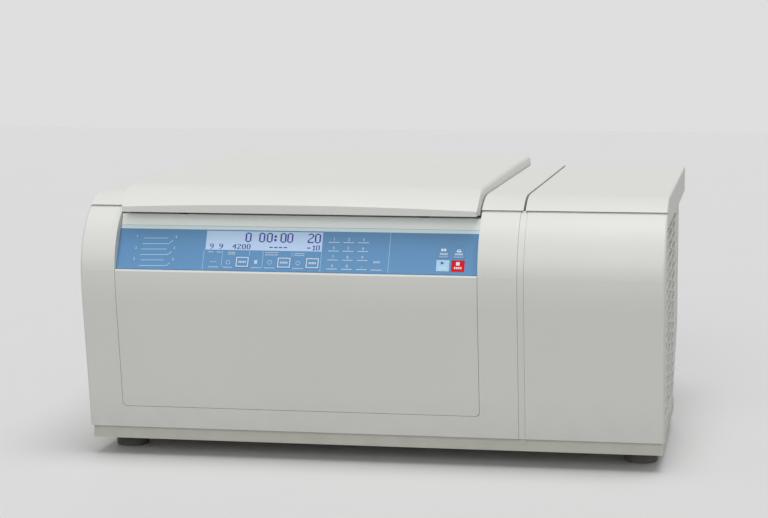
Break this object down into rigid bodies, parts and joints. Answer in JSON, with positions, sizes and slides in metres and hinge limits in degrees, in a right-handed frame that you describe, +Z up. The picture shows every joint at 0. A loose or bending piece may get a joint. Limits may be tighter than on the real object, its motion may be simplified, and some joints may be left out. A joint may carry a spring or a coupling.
{
  "type": "refrigerated benchtop centrifuge",
  "caption": "Refrigerated benchtop laboratory centrifuge: hinged lid over a cooled chamber with a swing-out rotor, sloping control panel, louvred cooling unit.",
  "frame": {"origin": "middle of the footprint on the bench, at the bottom of the feet", "axes": "+X to the right seen from the front, +Y to the back, +Z up"},
  "size_m": [0.746, 0.606, 0.357],
  "materials": {
    "cover_plastic": "satin moulded plastic, warm off-white",
    "painted_sheet": "fine textured paint, warm off-white",
    "base_paint": "fine textured paint, slightly darker off-white",
    "strip_plastic": "satin moulded plastic",
    "bezel_plastic": "satin moulded plastic, pale grey-green",
    "panel_foil": "printed membrane foil, mid blue",
    "display_glass": "pale blue liquid crystal display behind a clear window",
    "key_blue": "printed key cap, mid blue",
    "key_start": "printed key cap, pale blue",
    "key_stop": "printed key cap, red",
    "circuit_board": "green circuit board",
    "foot_rubber": "dark rubber",
    "seal_rubber": "dark rubber",
    "stainless": "brushed stainless steel",
    "steel_part": "machined steel",
    "zinc_screw": "zinc plated",
    "motor_casting": "cast aluminium",
    "rotor_alloy": "anodised aluminium",
    "bucket_steel": "brushed stainless steel",
    "foam": "moulded insulating foam",
    "copper": "copper tube",
    "compressor_paint": "black paint",
    "fin_aluminium": "thin aluminium fins on copper tube",
    "fan_plastic": "black moulded plastic",
    "shroud_steel": "zinc plated sheet",
    "heat_sink": "extruded aluminium",
    "inlet_plastic": "black moulded plastic"
  },
  "bodies": {
    "chassis": {"access_panel": "painted_sheet", "armour_ring": "shroud_steel", "base_pan": "base_paint", "chamber_boot": "seal_rubber", "chamber_bowl": "stainless", "compressor": "compressor_paint", "compressor_grommets": "seal_rubber", "condenser": "fin_aluminium", "control_bezel": "bezel_plastic", "control_board": "circuit_board", "control_foil": "panel_foil", "cover_screws": "zinc_screw", "display_module": "display_glass", "evaporator_coil": "copper", "fan_motor": "motor_casting", "fan_shroud": "shroud_steel", "feet": "foot_rubber", "filter_drier": "copper", "front_panel_cooling": "cover_plastic", "front_panel_main": "cover_plastic", "insulation": "foam", "joint_strip": "strip_plastic", "left_side_panel": "painted_sheet", "lid_hinge_brackets": "steel_part", "lid_hinge_pins": "steel_part", "lid_seal": "seal_rubber", "lock_units": "motor_casting", "mains_inlet": "inlet_plastic", "motor_bearings": "steel_part", "motor_housing": "motor_casting", "motor_mounts": "seal_rubber", "motor_plate": "steel_part", "power_module": "heat_sink", "rear_panel": "painted_sheet", "refrigerant_pipes": "copper", "right_side_panel": "painted_sheet", "top_cover_cooling": "cover_plastic", "top_cover_main": "cover_plastic"},
    "lid": {"lid_shell": "cover_plastic", "lid_liner": "stainless", "lid_hinge_arms": "steel_part", "lid_strikers": "steel_part"},
    "rotor": {"drive_shaft": "steel_part", "rotor_cross": "rotor_alloy", "rotor_nut": "steel_part"},
    "bucket_1": {"bucket_1": "bucket_steel"},
    "bucket_2": {"bucket_2": "bucket_steel"},
    "bucket_3": {"bucket_3": "bucket_steel"},
    "bucket_4": {"bucket_4": "bucket_steel"},
    "fan": {"fan_blade": "fan_plastic"},
    "lock_bolt_left": {"lock_bolt_left": "steel_part"},
    "lock_bolt_right": {"lock_bolt_right": "steel_part"},
    "mains_rocker": {"mains_rocker": "inlet_plastic"},
    "key_open": {"key_open": "key_blue"},
    "key_pulse": {"key_pulse": "key_blue"},
    "key_speed": {"key_speed": "key_blue"},
    "key_start": {"key_start": "key_start"},
    "key_stop": {"key_stop": "key_stop"},
    "key_temp": {"key_temp": "key_blue"},
    "key_time": {"key_time": "key_blue"}
  },
  "joints": [
    {"name": "lid_hinge", "type": "hinge", "parent": "chassis", "child": "lid", "pos_m": [-0.0935, 0.285, 0.33], "axis": [-1, 0, 0], "range_deg": [0, 70]},
    {"name": "lock_left_slide", "type": "slide", "parent": "chassis", "child": "lock_bolt_left", "axis": [1, 0, 0], "range_m": [0, 0.014]},
    {"name": "lock_right_slide", "type": "slide", "parent": "chassis", "child": "lock_bolt_right", "axis": [1, 0, 0], "range_m": [0, 0.014]},
    {"name": "rotor_spin", "type": "hinge", "parent": "chassis", "child": "rotor", "pos_m": [-0.092, -0.048, 0.222], "axis": [0, 0, 1], "continuous": true},
    {"name": "bucket_1_swing", "type": "hinge", "parent": "rotor", "child": "bucket_1", "pos_m": [-0.012, -0.048, 0.222], "axis": [0, -1, 0], "range_deg": [0, 90]},
    {"name": "bucket_2_swing", "type": "hinge", "parent": "rotor", "child": "bucket_2", "pos_m": [-0.092, 0.032, 0.222], "axis": [1, 0, 0], "range_deg": [0, 90]},
    {"name": "bucket_3_swing", "type": "hinge", "parent": "rotor", "child": "bucket_3", "pos_m": [-0.172, -0.048, 0.222], "axis": [0, 1, 0], "range_deg": [0, 90]},
    {"name": "bucket_4_swing", "type": "hinge", "parent": "rotor", "child": "bucket_4", "pos_m": [-0.092, -0.128, 0.222], "axis": [-1, 0, 0], "range_deg": [0, 90]},
    {"name": "fan_spin", "type": "hinge", "parent": "chassis", "child": "fan", "pos_m": [0.3057, 0.024, 0.202], "axis": [1, 0, 0], "continuous": true},
    {"name": "rocker_tilt", "type": "hinge", "parent": "chassis", "child": "mains_rocker", "pos_m": [0.143, 0.161, 0.25], "axis": [-1, 0, 0], "range_deg": [0, 12]},
    {"name": "key_open_press", "type": "slide", "parent": "chassis", "child": "key_open", "axis": [0, 0.8891, -0.4576], "range_m": [0, 0.0006], "stiffness_N_per_m": 300},
    {"name": "key_pulse_press", "type": "slide", "parent": "chassis", "child": "key_pulse", "axis": [0, 0.8891, -0.4576], "range_m": [0, 0.0006], "stiffness_N_per_m": 300},
    {"name": "key_speed_press", "type": "slide", "parent": "chassis", "child": "key_speed", "axis": [0, 0.8891, -0.4576], "range_m": [0, 0.0006], "stiffness_N_per_m": 300},
    {"name": "key_start_press", "type": "slide", "parent": "chassis", "child": "key_start", "axis": [0, 0.8891, -0.4576], "range_m": [0, 0.0006], "stiffness_N_per_m": 300},
    {"name": "key_stop_press", "type": "slide", "parent": "chassis", "child": "key_stop", "axis": [0, 0.8891, -0.4576], "range_m": [0, 0.0006], "stiffness_N_per_m": 300},
    {"name": "key_temp_press", "type": "slide", "parent": "chassis", "child": "key_temp", "axis": [0, 0.8891, -0.4576], "range_m": [0, 0.0006], "stiffness_N_per_m": 300},
    {"name": "key_time_press", "type": "slide", "parent": "chassis", "child": "key_time", "axis": [0, 0.8891, -0.4576], "range_m": [0, 0.0006], "stiffness_N_per_m": 300}
  ],
  "couplings": [
    {"joint": "lock_right_slide", "follows": "lock_left_slide", "ratio": 1}
  ]
}
